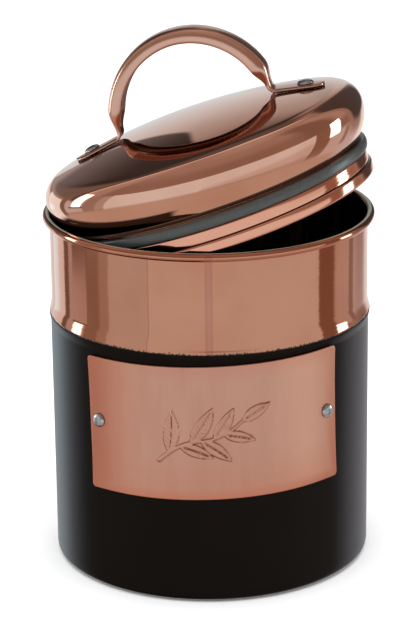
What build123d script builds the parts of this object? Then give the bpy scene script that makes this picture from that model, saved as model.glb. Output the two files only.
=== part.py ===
from build123d import *

import os
from math import asin, atan2, cos, degrees, pi, radians, sin, sqrt

# Tea caddy: a round sheet-metal canister with a riveted name plate, and a lift-off
# lid that leans in the mouth, as it does when somebody has just opened it.
#
# Frame: millimetres. The origin is the centre of the canister's underside, +Z is up,
# and the name plate faces -Y.

# ---------------------------------------------------------------- driving dimensions

# Everywhere
PART_GAP = 0.1               # between sheets that lie against each other
CUT_MARGIN = 1.0             # how far a cutting shape reaches past what it cuts
HOLE_LENGTH = 8.0            # length of the cutters for rivet holes

# Canister
SHELL_RADIUS = 56.5          # outside of the painted shell
SHELL_SHEET = 0.5
SHELL_TOP = 91.2             # top edge of the painted shell, under the collar's bead
SHELL_CORNER = 2.45          # centre-line radius of the turned-in bottom edge
SHELL_FLARE = 0.5            # how far the shell's top edge flares out
FLARE_HEIGHT = 3.5
FLARE_ROUND = 3.0
FOOT_RING_RADIUS = 50.0      # inner edge of the turned-in bottom flange

COLLAR_RADIUS = 56.1         # outside of the copper band
COLLAR_SHEET = 0.5
COLLAR_SLEEVE_RADIUS = 55.9  # outside of the part that slips into the shell
COLLAR_SLEEVE_BOTTOM = 84.0
BEAD_RADIUS = 57.0           # crest of the raised bead
BEAD_TOP = 96.2
SHELF_ROUND = 0.3            # where the sleeve turns out into the bead
CREST_ROUND = 0.4
FLANK_ROUND = 2.0            # where the bead runs into the band's wall
CURL_RADIUS = 1.45           # tube radius of the rolled rim
RIM_TOP = 126.4
CURL_SWEEP = 300.0           # how far round the rim is rolled

BASE_SHEET = 0.5
BASE_FLANGE_HEIGHT = 7.0
BASE_MIDDLE_RADIUS = 47.5    # of the flush middle
BASE_STEP_RADIUS = 48.7      # where the disc has stepped up over the shell's flange
BASE_STEP_ROUND = 0.4
BASE_EDGE_ROUND = 2.25

# Name plate
PLATE_SHEET = 0.8
PLATE_HALF_ANGLE = 47.5      # degrees round the shell, from its middle to each end
PLATE_HEIGHT = 48.1
PLATE_CORNER = 1.6
PLATE_CENTRE_Z = 62.7
PLATE_TURN = 1.1             # degrees round the shell, off the front
PLATE_SKEW = 1.4             # degrees out of level
PLATE_RIVET_ANGLE = 43.1     # degrees from the plate's middle
PLATE_RIVET_RISE = 1.1       # above the plate's middle
PLATE_RIVET_HEAD = 2.5       # head radius
PLATE_RIVET_DOME = 1.3       # head height
PLATE_RIVET_SHANK = 1.2      # shank radius
PLATE_RIVET_TAIL = 2.1       # tail radius

# Lid, in its own frame: origin at the centre of the dome's bottom edge, z up its axis
DOME_RADIUS = 58.26
DOME_SHEET = 0.6
DOME_WIDEST_Z = 11.73
DOME_LOWER_ARC = 15.14       # arc radius below the widest line
DOME_LOWER_ANGLE = 50.77
DOME_UPPER_ARC = 8.34        # arc radius above the widest line
DOME_UPPER_ANGLE = 76.35     # where the shoulder runs into the shallow cap

NECK_RADIUS = 52.2           # outside of the plug's neck, inside the seal
PLUG_SHEET = 0.5
PLUG_RADIUS = 54.0           # outside of the plug's upper ring
PLUG_STEP_Z = -4.45          # top of the plug's upper ring
PLUG_BOTTOM_Z = -8.5
PLUG_FLANGE_RADIUS = 54.1    # end of the flange that lies inside the dome's edge
PLUG_FLANGE_END_Z = 2.95
PLUG_FLANGE_ROOT_Z = 0.9
PLUG_ROUNDS = (0.5, 0.3, 0.5)
PAN_RADIUS = 54.75
PAN_SHEET = 0.6
PAN_TOP_Z = -8.7
PAN_BOTTOM_Z = -12.95
PAN_SLEEVE_RADIUS = 53.3
PAN_SLEEVE_TOP_Z = -5.6
PAN_ROUNDS = (0.8, 0.5, 0.3)

SEAL_RADIUS = 55.2
SEAL_INNER_RADIUS = 52.3
SEAL_TOP_Z = -0.6
SEAL_BOTTOM_Z = -4.4
SEAL_ROUND = 0.8

# Handle, symmetric about its own middle
HANDLE_TURN = -5.4           # degrees about the lid's axis
HANDLE_OFFSET = 2.0          # how far along its own line it sits off the lid's centre
ARCH_RADIUS = 26.0           # inner face of the arch
ARCH_CENTRE_Z = 25.3
ARCH_DEPTH = 4.6             # depth of the channel section at the crown
ARCH_HALF_WIDTH = 6.2
HANDLE_SHEET = 1.1
ARCH_EDGE = 1.7              # height of the channel's straight sides at the crown
ARCH_MIN_HOLLOW = 0.15       # depth of the hollow where the strap is flat
SWELL_SHARE = 0.26           # share of the half arch over which the channel deepens
NECK_SPREAD = 1.2            # how far outside the arch's circle the necks stand
NECK_DEPTH = 1.65
NECK_HALF_WIDTH = 4.3
FOOT_HALF_WIDTH = 4.8
FOOT_DEPTH = 1.25            # the foot's top is slightly crowned
FOOT_TIP = 45.65             # foot tip from the handle's middle
FOOT_TIP_ROUND = 12.8        # diameter of the rounding across a foot's tip
FOOT_RIVET = 39.15           # foot rivet from the handle's middle
FOOT_LIFT = 0.1              # between the dome and the foot
FOOT_EXTRA_SLOPE = 0.5       # degrees steeper than the dome under the rivet
FOOT_BEND = 3.0              # bend radius where foot meets arch
BEND_STEPS = 6               # sections round each bend
ARCH_STEPS = 18              # sections up each half of the arch

HANDLE_RIVET_HEAD = 2.9
HANDLE_RIVET_DOME = 1.4
HANDLE_RIVET_SHANK = 1.5
HANDLE_RIVET_TAIL = 2.3
TAIL_THICKNESS = 0.8
RIVET_CLEARANCE = 0.05       # round each shank and under each head
TAIL_CLEARANCE = 0.15        # between the dome's inside and a handle rivet's tail

# How the open lid leans in the mouth
LEAN = 18.8                  # degrees from level
LEAN_TOWARDS = 166.5         # compass direction of the low side, from +X towards +Y
LID_PLACE = (2.3, -0.5, 135.6)

# ---------------------------------------------------------------- shared shapes


def turned(profile):
    """Turn a profile drawn as (radius, height) about the vertical axis."""
    return revolve(Plane.XZ * profile, Axis.Z)


def sheet_ring(points, radii, thickness):
    """Turn thin sheet that follows a rounded centre line of (radius, height) points."""
    return turned(trace(FilletPolyline(*points, radius=radii), line_width=thickness))


def rivet(head_radius, head_height, shank_radius, tail_radius, grip):
    """Rivet along +Z: the head sits on z = 0 and the tail is clenched at z = -grip."""
    ball_radius = (head_radius**2 + head_height**2) / (2 * head_height)
    ball = Pos(0, 0, head_height - ball_radius) * Sphere(ball_radius)
    keep = Pos(0, 0, head_height / 2) * Cylinder(head_radius + CUT_MARGIN, head_height)
    shank = Pos(0, 0, -grip / 2) * Cylinder(shank_radius, grip + TAIL_THICKNESS)
    tail = Pos(0, 0, -grip - TAIL_THICKNESS / 2) * Cylinder(tail_radius, TAIL_THICKNESS)
    return (ball & keep) + shank + tail


# ---------------------------------------------------------------- canister


def painted_body():
    middle = SHELL_RADIUS - SHELL_SHEET / 2
    points = [
        (FOOT_RING_RADIUS, SHELL_SHEET / 2),
        (middle, SHELL_SHEET / 2),
        (middle, SHELL_TOP - FLARE_HEIGHT),
        (middle + SHELL_FLARE, SHELL_TOP),
    ]
    shell = sheet_ring(points, [SHELL_CORNER, FLARE_ROUND], SHELL_SHEET)
    return shell - plate_rivet_holes()


def copper_collar():
    wall = COLLAR_RADIUS - COLLAR_SHEET / 2
    sleeve = COLLAR_SLEEVE_RADIUS - COLLAR_SHEET / 2
    crest = BEAD_RADIUS - COLLAR_SHEET / 2
    bead_z = SHELL_TOP + PART_GAP + COLLAR_SHEET / 2
    curl_centre = (wall + CURL_RADIUS - COLLAR_SHEET / 2, RIM_TOP - CURL_RADIUS)
    points = [
        (sleeve, COLLAR_SLEEVE_BOTTOM),
        (sleeve, bead_z),
        (crest, bead_z),
        (wall, BEAD_TOP),
        (wall, curl_centre[1]),
    ]
    rolled_wall = FilletPolyline(*points, radius=[SHELF_ROUND, CREST_ROUND, FLANK_ROUND])
    curl = CenterArc(curl_centre, CURL_RADIUS - COLLAR_SHEET / 2, 180, -CURL_SWEEP)
    return turned(trace(rolled_wall + curl, line_width=COLLAR_SHEET))


def base_disc():
    """Pressed disc: its middle is flush with the shell's flange and its edge laps over it."""
    low = BASE_SHEET / 2
    high = SHELL_SHEET + PART_GAP + BASE_SHEET / 2
    edge = SHELL_RADIUS - SHELL_SHEET - PART_GAP - BASE_SHEET / 2
    points = [
        (0, low),
        (BASE_MIDDLE_RADIUS, low),
        (BASE_STEP_RADIUS, high),
        (edge, high),
        (edge, BASE_FLANGE_HEIGHT),
    ]
    return sheet_ring(points, [BASE_STEP_ROUND, BASE_STEP_ROUND, BASE_EDGE_ROUND], BASE_SHEET)


# ---------------------------------------------------------------- name plate


def plate_rivet_place(side, radius):
    """Place on the shell's front for a rivet, with z pointing out of the shell."""
    angle = radians(-90 + PLATE_TURN + side * PLATE_RIVET_ANGLE)
    outwards = Vector(cos(angle), sin(angle), 0)
    across = SHELL_RADIUS * sin(radians(PLATE_RIVET_ANGLE))
    height = PLATE_CENTRE_Z + PLATE_RIVET_RISE + side * across * sin(radians(PLATE_SKEW))
    return Plane(outwards * radius + Vector(0, 0, height), z_dir=outwards).location


def plate_rivet_holes():
    hole = Cylinder(PLATE_RIVET_SHANK + RIVET_CLEARANCE, HOLE_LENGTH)
    return [plate_rivet_place(side, SHELL_RADIUS) * hole for side in (-1, 1)]


def name_plate():
    inner = SHELL_RADIUS + PART_GAP
    outer = inner + PLATE_SHEET
    band = Cylinder(outer, 2 * PLATE_HEIGHT) - Cylinder(inner, 2 * PLATE_HEIGHT)
    width = 2 * outer * sin(radians(PLATE_HALF_ANGLE))
    outline = RectangleRounded(width, PLATE_HEIGHT, PLATE_CORNER)
    front = Rot(0, -PLATE_SKEW, 0) * extrude(Plane.XZ * outline, amount=outer + CUT_MARGIN)
    plate = Pos(0, 0, PLATE_CENTRE_Z) * Rot(0, 0, PLATE_TURN) * (band & front)
    return plate - plate_rivet_holes()


def plate_rivet(side):
    seat = SHELL_RADIUS + PART_GAP + PLATE_SHEET + RIVET_CLEARANCE
    sag = PLATE_RIVET_TAIL**2 / (2 * SHELL_RADIUS)
    grip = seat - (SHELL_RADIUS - SHELL_SHEET) + sag + RIVET_CLEARANCE
    shape = rivet(PLATE_RIVET_HEAD, PLATE_RIVET_DOME, PLATE_RIVET_SHANK, PLATE_RIVET_TAIL, grip)
    return plate_rivet_place(side, seat) * shape


# ---------------------------------------------------------------- lid, in its own frame

# The cap is a shallow sphere that continues the shoulder arc without a kink.
SHOULDER_CENTRE_R = DOME_RADIUS - DOME_UPPER_ARC
CAP_RADIUS = DOME_UPPER_ARC + SHOULDER_CENTRE_R / cos(radians(DOME_UPPER_ANGLE))
CAP_CENTRE_Z = DOME_WIDEST_Z - (CAP_RADIUS - DOME_UPPER_ARC) * sin(radians(DOME_UPPER_ANGLE))


def dome_side(inset):
    """The dome's three arcs from bottom edge to apex, moved in by the given distance."""
    lower_centre = (DOME_RADIUS - DOME_LOWER_ARC, DOME_WIDEST_Z)
    upper_centre = (SHOULDER_CENTRE_R, DOME_WIDEST_Z)
    cap_centre = (0, CAP_CENTRE_Z)
    return [
        CenterArc(lower_centre, DOME_LOWER_ARC - inset, -DOME_LOWER_ANGLE, DOME_LOWER_ANGLE),
        CenterArc(upper_centre, DOME_UPPER_ARC - inset, 0, DOME_UPPER_ANGLE),
        CenterArc(cap_centre, CAP_RADIUS - inset, DOME_UPPER_ANGLE, 90 - DOME_UPPER_ANGLE),
    ]


def lid_dome():
    outside = dome_side(0)
    inside = dome_side(DOME_SHEET)
    bottom_edge = Line(outside[0] @ 0, inside[0] @ 0)
    apex_edge = Line(outside[-1] @ 1, inside[-1] @ 1)
    section = make_face(Curve() + outside + inside + [bottom_edge, apex_edge])
    return turned(section) - handle_rivet_holes()


def plug_collar():
    neck = NECK_RADIUS - PLUG_SHEET / 2
    ring = PLUG_RADIUS - PLUG_SHEET / 2
    step = PLUG_STEP_Z - PLUG_SHEET / 2
    points = [
        (PLUG_FLANGE_RADIUS, PLUG_FLANGE_END_Z),
        (neck, PLUG_FLANGE_ROOT_Z),
        (neck, step),
        (ring, step),
        (ring, PLUG_BOTTOM_Z),
    ]
    return sheet_ring(points, PLUG_ROUNDS, PLUG_SHEET)


def plug_pan():
    wall = PAN_RADIUS - PAN_SHEET / 2
    sleeve = PAN_SLEEVE_RADIUS - PAN_SHEET / 2
    shoulder = PAN_TOP_Z - PAN_SHEET / 2
    floor = PAN_BOTTOM_Z + PAN_SHEET / 2
    points = [
        (0, floor),
        (wall, floor),
        (wall, shoulder),
        (sleeve, shoulder),
        (sleeve, PAN_SLEEVE_TOP_Z),
    ]
    return sheet_ring(points, PAN_ROUNDS, PAN_SHEET)


def lid_seal():
    middle = ((SEAL_RADIUS + SEAL_INNER_RADIUS) / 2, (SEAL_TOP_Z + SEAL_BOTTOM_Z) / 2)
    width = SEAL_RADIUS - SEAL_INNER_RADIUS
    height = SEAL_TOP_Z - SEAL_BOTTOM_Z
    return turned(Pos(*middle) * RectangleRounded(width, height, SEAL_ROUND))


# ---------------------------------------------------------------- handle


def cap_height(radius):
    return CAP_CENTRE_Z + sqrt(CAP_RADIUS**2 - radius**2)


FOOT_SLOPE = degrees(asin(FOOT_RIVET / CAP_RADIUS)) + FOOT_EXTRA_SLOPE
FOOT_ALONG = Vector(cos(radians(FOOT_SLOPE)), 0, -sin(radians(FOOT_SLOPE)))
FOOT_UP = Vector(sin(radians(FOOT_SLOPE)), 0, cos(radians(FOOT_SLOPE)))
FOOT_SEAT = Vector(FOOT_RIVET, 0, cap_height(FOOT_RIVET)) + FOOT_UP * FOOT_LIFT
ARCH_CENTRE = Vector(0, 0, ARCH_CENTRE_Z)


def bend_centre():
    """Centre of the bend that runs from the foot's underside into the neck of the arch."""
    rise = (FOOT_SEAT - ARCH_CENTRE).dot(FOOT_UP) + FOOT_BEND
    reach = sqrt((ARCH_RADIUS + NECK_SPREAD + FOOT_BEND) ** 2 - rise**2)
    return ARCH_CENTRE + FOOT_UP * rise + FOOT_ALONG * reach


def channel_section(place, outwards, half_width, depth, edge):
    """Strap section: a channel, rounded on its outer side and hollow on its inner side."""
    across = Vector(0, 1, 0)
    plane = Plane(place, x_dir=across, z_dir=across.cross(outwards))
    hollow = max(depth - HANDLE_SHEET, ARCH_MIN_HOLLOW)
    inner_half = half_width - HANDLE_SHEET
    outline = Curve() + [
        Line((-half_width, 0), (-half_width, edge)),
        ThreePointArc((-half_width, edge), (0, depth), (half_width, edge)),
        Line((half_width, edge), (half_width, 0)),
        Line((half_width, 0), (inner_half, 0)),
        ThreePointArc((inner_half, 0), (0, hollow), (-inner_half, 0)),
        Line((-inner_half, 0), (-half_width, 0)),
    ]
    return plane * make_face(outline)


def handle_sections():
    """Sections of the strap's right half, from the foot's tip to the crown."""
    bend = bend_centre()
    bend_start = bend - FOOT_UP * FOOT_BEND
    tip = FOOT_SEAT + FOOT_ALONG * ((FOOT_TIP - FOOT_RIVET) / FOOT_ALONG.X)
    foot = (FOOT_HALF_WIDTH, FOOT_DEPTH, HANDLE_SHEET)
    sections = [(tip, FOOT_UP, *foot), (bend_start, FOOT_UP, *foot)]
    to_arch = (ARCH_CENTRE - bend).normalized()
    start = degrees(atan2(-FOOT_UP.Z, -FOOT_UP.X)) % 360
    end = degrees(atan2(to_arch.Z, to_arch.X)) % 360
    for step in range(1, BEND_STEPS + 1):
        share = step / BEND_STEPS
        angle = radians(start + (end - start) * share)
        radial = Vector(cos(angle), 0, sin(angle))
        depth = FOOT_DEPTH + (NECK_DEPTH - FOOT_DEPTH) * share
        half_width = FOOT_HALF_WIDTH + (NECK_HALF_WIDTH - FOOT_HALF_WIDTH) * share
        strap = (half_width, depth, HANDLE_SHEET)
        sections.append((bend + radial * FOOT_BEND, radial * -1, *strap))
    low = degrees(atan2(-to_arch.Z, -to_arch.X))
    for step in range(1, ARCH_STEPS + 1):
        share = step / ARCH_STEPS
        angle = radians(low + (90 - low) * share)
        radial = Vector(cos(angle), 0, sin(angle))
        swell = sin(min(share / SWELL_SHARE, 1.0) * pi / 2) ** 2
        depth = NECK_DEPTH + (ARCH_DEPTH - NECK_DEPTH) * swell
        half_width = NECK_HALF_WIDTH + (ARCH_HALF_WIDTH - NECK_HALF_WIDTH) * swell
        edge = HANDLE_SHEET + (ARCH_EDGE - HANDLE_SHEET) * swell
        inner_face = ARCH_CENTRE + radial * (ARCH_RADIUS + NECK_SPREAD * (1 - swell))
        sections.append((inner_face, radial, half_width, depth, edge))
    return sections


def mirrored_section(section):
    place, outwards, half_width, depth, edge = section
    return Vector(-place.X, 0, place.Z), Vector(-outwards.X, 0, outwards.Z), half_width, depth, edge


def handle_place():
    """Slide the handle off centre over the dome's cap, then turn it about the lid's axis."""
    slide = degrees(HANDLE_OFFSET / CAP_RADIUS)
    over_cap = Pos(0, 0, CAP_CENTRE_Z) * Rot(0, slide, 0) * Pos(0, 0, -CAP_CENTRE_Z)
    return Rot(0, 0, HANDLE_TURN) * over_cap


def handle_rivet_place(side, height):
    """Place on a foot for a rivet, with z pointing out of the dome."""
    seat = FOOT_SEAT + FOOT_UP * height
    origin = Vector(side * seat.X, 0, seat.Z)
    up = Vector(side * FOOT_UP.X, 0, FOOT_UP.Z)
    return handle_place() * Plane(origin, z_dir=up).location


def handle_rivet_holes():
    hole = Cylinder(HANDLE_RIVET_SHANK + RIVET_CLEARANCE, HOLE_LENGTH)
    return [handle_rivet_place(side, 0) * hole for side in (-1, 1)]


def lid_handle():
    right = handle_sections()
    left = [mirrored_section(section) for section in reversed(right[:-1])]
    strap = loft([channel_section(*section) for section in right + left], ruled=True)
    tip_outline = SlotOverall(2 * FOOT_TIP, FOOT_TIP_ROUND)
    crown_z = ARCH_CENTRE_Z + ARCH_RADIUS + ARCH_DEPTH
    strap = strap & extrude(tip_outline, amount=crown_z + CUT_MARGIN)
    return handle_place() * strap - handle_rivet_holes()


def handle_rivet(side):
    seat = FOOT_DEPTH + RIVET_CLEARANCE
    grip = seat + FOOT_LIFT + DOME_SHEET + TAIL_CLEARANCE
    shape = rivet(
        HANDLE_RIVET_HEAD, HANDLE_RIVET_DOME, HANDLE_RIVET_SHANK, HANDLE_RIVET_TAIL, grip
    )
    return handle_rivet_place(side, seat) * shape


# ---------------------------------------------------------------- assembly


def lid_place():
    """Lean the lid towards its low side, about a level line through its own origin."""
    lean_axis = Axis((0, 0, 0), (-sin(radians(LEAN_TOWARDS)), cos(radians(LEAN_TOWARDS)), 0))
    x_dir = Vector(1, 0, 0).rotate(lean_axis, LEAN)
    z_dir = Vector(0, 0, 1).rotate(lean_axis, LEAN)
    return Plane(LID_PLACE, x_dir=x_dir, z_dir=z_dir).location


canister_nodes = {
    "painted_body": painted_body(),
    "copper_collar": copper_collar(),
    "base_disc": base_disc(),
    "name_plate": name_plate(),
    "plate_rivet_left": plate_rivet(-1),
    "plate_rivet_right": plate_rivet(1),
}

lid_nodes = {
    "lid_dome": lid_dome(),
    "plug_collar": plug_collar(),
    "plug_pan": plug_pan(),
    "lid_seal": lid_seal(),
    "lid_handle": lid_handle(),
    "handle_rivet_left": handle_rivet(-1),
    "handle_rivet_right": handle_rivet(1),
}

os.makedirs("parts", exist_ok=True)
for name, shape in canister_nodes.items():
    export_step(shape, f"parts/{name}.step")
for name, shape in lid_nodes.items():
    export_step(lid_place() * shape, f"parts/{name}.step")
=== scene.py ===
from math import acos, asin, atan2, ceil, cos, degrees, hypot, pi, radians, sin, sqrt

import bmesh
import bpy
import numpy as np
from mathutils import Matrix, Vector


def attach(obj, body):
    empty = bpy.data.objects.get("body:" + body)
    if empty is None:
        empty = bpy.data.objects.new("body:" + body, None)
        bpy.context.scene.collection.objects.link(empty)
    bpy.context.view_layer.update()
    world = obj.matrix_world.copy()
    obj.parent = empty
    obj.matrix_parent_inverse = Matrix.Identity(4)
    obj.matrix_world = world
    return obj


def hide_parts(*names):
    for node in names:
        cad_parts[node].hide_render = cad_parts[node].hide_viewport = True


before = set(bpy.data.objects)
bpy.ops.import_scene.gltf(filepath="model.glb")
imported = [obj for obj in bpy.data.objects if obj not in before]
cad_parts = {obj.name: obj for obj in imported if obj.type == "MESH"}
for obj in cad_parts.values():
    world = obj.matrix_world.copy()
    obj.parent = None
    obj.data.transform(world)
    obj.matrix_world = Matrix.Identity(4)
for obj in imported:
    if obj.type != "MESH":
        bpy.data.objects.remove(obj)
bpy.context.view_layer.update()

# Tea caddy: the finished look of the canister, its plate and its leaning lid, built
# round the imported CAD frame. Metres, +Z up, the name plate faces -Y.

MM = 0.001

# ---- driving dimensions (mm)

SHELL_RADIUS = 56.5
SHELL_SHEET = 0.5
SHELL_TOP = 90.2
SHELL_CORNER = 2.7
SHELL_FLARE = ((0.0, 2.9), (0.45, 0.6), (0.48, 0.0))  # (how far out, how far below the top)
SHELL_FLARE_ROUNDS = (3.0, 1.0)
FOOT_RING_RADIUS = 50.0

COLLAR_RADIUS = 56.1
COLLAR_SHEET = 0.5
SLEEVE_RADIUS = 55.9
SLEEVE_BOTTOM = 84.0
SHELF_GAP = 0.06  # between the shell's top edge and the bead's shelf
SHELF_ROUND = 0.3
SHELF_END = 0.15  # how far inside the crest the shelf ends
BEAD_RADIUS = 57.0
BEAD_TOP = 95.4
BEAD_TUCK = 0.12  # rounding just over the crest
CURL_RADIUS = 1.45
CURL_LEAD = 0.4  # where the wall ends, below the curl's centre
CURL_SWEEP = 300.0
RIM_TOP = 126.4

PLATE_INNER = 56.6
PLATE_SHEET = 0.8
PLATE_OUTER = PLATE_INNER + PLATE_SHEET
PLATE_HALF_ANGLE = 47.5
PLATE_HEIGHT = 48.1
PLATE_CORNER = 1.6
PLATE_EASE = 0.3  # rounding of the front edges
PLATE_CENTRE_Z = 62.7
PLATE_TURN = 1.1
PLATE_SKEW = 1.4
PLATE_GRID = 0.3  # spacing of its mesh
CORNER_LIFT = 0.45  # how far the plate's corners stand off
DENT_DEPTH = 0.05
EMBOSS_HEIGHT = 0.40
GROOVE_DEPTH = 0.12
GROOVE_REACH = (0.22, 0.16)  # along and up, how far a groove lies from the embossing

DOME_RADIUS = 58.26
DOME_SHEET = 0.6
DOME_WIDEST_Z = 11.73
DOME_LOWER_ARC = 15.14
DOME_FLANK_ANGLE = 34.0
DOME_HEM = 0.9
DOME_EDGE_RADIUS = 52.7
DOME_UPPER_ARC = 8.34
DOME_UPPER_ANGLE = 76.35

NECK_RADIUS = 52.2
PLUG_SHEET = 0.5
PLUG_RADIUS = 54.0
PLUG_STEP_Z = -4.45
PLUG_RING_END_Z = -8.35
PLUG_FLANGE = ((54.1, 2.95), (NECK_RADIUS - PLUG_SHEET / 2, 0.9))
PLUG_ROUNDS = (0.5, 0.3, 0.5)
PAN_RADIUS = 54.75
PAN_SHEET = 0.6
PAN_TOP_Z = -8.7
PAN_BOTTOM_Z = -12.95
PAN_PANEL_RISE = 0.8
PAN_PANEL_RADII = (46.0, 47.5)
PAN_SLEEVE_RADIUS = 53.3
PAN_SLEEVE_TOP_Z = -5.6
PAN_ROUNDS = (1.0, 1.0, 0.9, 0.6, 0.35)

SEAL_RADIUS = 55.2
SEAL_INNER_RADIUS = 52.3
SEAL_INNER_ROUND = 0.3
SEAL_TOP_Z = -0.6
SEAL_BOTTOM_Z = -4.4
SEAL_BULGE = 1.15
SEAL_POWER = 0.72  # squareness of the bulge: 1 is round, 0 is square
SEAL_LINE = (0.05, 0.12)  # height and half width of the moulding line

HANDLE_TURN = -5.4
HANDLE_OFFSET = 2.0
HANDLE_SHEET = 1.1
ARCH_RADIUS = 25.75
ARCH_CENTRE_Z = 25.3
ARCH_DEPTH = 5.2
ARCH_HALF_WIDTH = 6.4
ARCH_EDGE = 1.7
FLAT_EDGE = HANDLE_SHEET * 0.55
SWELL_SHARE = 0.19  # share of the half arch over which the strap swells
SHOULDER_TUCK = 0.9  # the right shoulder is bent in by this much and is deeper there
SHOULDER_DEPTH = 0.35
SHOULDER_SPAN = (-6.0, 24.0)
NECK_SPREAD = 1.25
NECK_DEPTH = 1.85
NECK_HALF_WIDTH = 4.6
FOOT_HALF_WIDTH = 4.8
FOOT_DEPTH = 1.25
FOOT_TIP = 45.65
FOOT_TIP_ROUND = FOOT_HALF_WIDTH * 1.05
FOOT_RIVET = 39.15
FOOT_LIFT = 0.1
FOOT_EXTRA_SLOPE = 0.5
FOOT_BEND = 3.0
SECTION_POWER = 0.62  # squareness of the strap's section across
BACK_POWER = 0.8  # and of its rounded back
LIP = 0.28  # rounding of the strap's edges
HOLLOW_SIDE = (32, 52)  # places of the hollow side in the section's loop
HOLLOW_SHADE = 0.72

RIVET_GAP = 0.05  # under each head
RIVET_SKIRT = 0.12
TAIL_THICKNESS = 0.8
PLATE_RIVET_ANGLE = 43.1
PLATE_RIVET_RISE = 1.1
PLATE_RIVET = (2.5, 1.3, 1.2, 2.1)  # head radius, head height, shank radius, tail radius
PLATE_RIVET_GRIP = PLATE_OUTER + 0.1 - (SHELL_RADIUS - SHELL_SHEET) + 0.09
HANDLE_RIVET = (2.9, 1.4, 1.5, 2.3)
HANDLE_RIVET_GRIP = FOOT_DEPTH + RIVET_GAP + FOOT_LIFT + DOME_SHEET + 0.15

LEAN = 18.8
LEAN_TOWARDS = 166.5
LID_PLACE = (2.3, -0.5, 135.6)

TURN_STEPS = 288  # segments round every turned piece
RIVET_STEPS = 56
TINY = 1e-4

# ---- frames of reference


def lid_matrix():
    """The lid's own frame in the row frame, in millimetres."""
    towards = radians(LEAN_TOWARDS)
    axis = Vector((-sin(towards), cos(towards), 0))
    return Matrix.Translation(LID_PLACE) @ Matrix.Rotation(radians(LEAN), 4, axis)


CAP_RADIUS = DOME_UPPER_ARC + (DOME_RADIUS - DOME_UPPER_ARC) / cos(radians(DOME_UPPER_ANGLE))
CAP_CENTRE_Z = DOME_WIDEST_Z - (CAP_RADIUS - DOME_UPPER_ARC) * sin(radians(DOME_UPPER_ANGLE))


def handle_matrix():
    """The handle's own frame: slid off centre over the cap, then turned about the lid's axis."""
    over_cap = (
        Matrix.Translation((0, 0, CAP_CENTRE_Z))
        @ Matrix.Rotation(HANDLE_OFFSET / CAP_RADIUS, 4, "Y")
        @ Matrix.Translation((0, 0, -CAP_CENTRE_Z))
    )
    return lid_matrix() @ Matrix.Rotation(radians(HANDLE_TURN), 4, "Z") @ over_cap


UPRIGHT = Matrix.Identity(4)
LID = lid_matrix()
HANDLE = handle_matrix()

# ---- outlines


def smooth(x, low, high):
    """Smooth step from 0 at low to 1 at high, for numbers and arrays."""
    t = np.clip((x - low) / (high - low), 0, 1)
    return t * t * (3 - 2 * t)


def arc(centre, radius, start, end, steps):
    """Points round an arc, angles in degrees, both ends included."""
    angles = [radians(start + (end - start) * i / steps) for i in range(steps + 1)]
    return [(centre[0] + radius * cos(a), centre[1] + radius * sin(a)) for a in angles]


def bearing(vector):
    """Direction of a flat vector, in degrees."""
    return degrees(atan2(vector[1], vector[0]))


def rounded(points, radii, steps=8):
    """A polyline whose inner corners are replaced by arcs of the given radii."""
    path = [points[0]]
    for before, corner, after, radius in zip(points, points[1:], points[2:], radii):
        corner = Vector(corner)
        back = (Vector(before) - corner).normalized()
        ahead = (Vector(after) - corner).normalized()
        half = acos(max(-1, min(1, back.dot(ahead)))) / 2
        reach = radius / np.tan(half)
        centre = corner + (back + ahead).normalized() * (radius / sin(half))
        start = bearing(corner + back * reach - centre)
        end = bearing(corner + ahead * reach - centre)
        if end - start > 180:
            end -= 360
        if end - start < -180:
            end += 360
        path += arc(centre, radius, start, end, steps)
    path.append(points[-1])
    return path


def refined(path, longest):
    """The same path with its long stretches divided."""
    fine = [path[0]]
    for a, b in zip(path, path[1:]):
        parts = max(1, ceil(hypot(b[0] - a[0], b[1] - a[1]) / longest))
        fine += [(a[0] + (b[0] - a[0]) * i / parts, a[1] + (b[1] - a[1]) * i / parts)
                 for i in range(1, parts + 1)]
    return fine


def without_doubles(path):
    kept = [path[0]]
    for point in path[1:]:
        if hypot(point[0] - kept[-1][0], point[1] - kept[-1][1]) > TINY:
            kept.append(point)
    return kept


def sheet_outline(path, thickness, round_start=True):
    """Outline of a sheet whose middle follows the path: up one side and back down the other."""
    path = np.array(without_doubles(path))
    ahead = np.gradient(path, axis=0)
    ahead /= np.linalg.norm(ahead, axis=1)[:, None]
    side = np.stack([-ahead[:, 1], ahead[:, 0]], axis=1) * thickness / 2
    left = [tuple(p) for p in path + side]
    right = [tuple(p) for p in (path - side)[::-1]]

    def cap(centre, start_vector):
        start = bearing(start_vector)
        return arc(centre, thickness / 2, start, start - 180, steps=5)[1:-1]

    return left + cap(path[-1], side[-1]) + right + (cap(path[0], -side[0]) if round_start else [])


# ---- meshes


def add_object(name, data):
    made = bpy.data.objects.new(name, data)
    bpy.context.scene.collection.objects.link(made)
    return made


def finish_mesh(name, bm, own_axis, body, replaced, sharp=35, extra=None):
    """Turn a bmesh in its own frame (mm) into a piece that rides on a body.

    The own-frame coordinates are kept as the attribute "own", for materials that follow
    the piece's axis, and extra holds further values by point.
    """
    bmesh.ops.recalc_face_normals(bm, faces=bm.faces)
    mesh = bpy.data.meshes.new(name)
    bm.to_mesh(mesh)
    bm.free()
    co = np.zeros(len(mesh.vertices) * 3, np.float32)
    mesh.vertices.foreach_get("co", co)
    own = mesh.attributes.new("own", "FLOAT_VECTOR", "POINT")
    own.data.foreach_set("vector", co)
    for key, values in (extra or {}).items():
        layer = mesh.attributes.new(key, "FLOAT", "POINT")
        layer.data.foreach_set("value", np.asarray(values, np.float32))
    mesh.transform(Matrix.Scale(MM, 4) @ own_axis)
    mesh.shade_smooth()
    mesh.set_sharp_from_angle(angle=radians(sharp))
    piece = add_object(name, mesh)
    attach(piece, body)
    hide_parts(replaced)
    return piece


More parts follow.
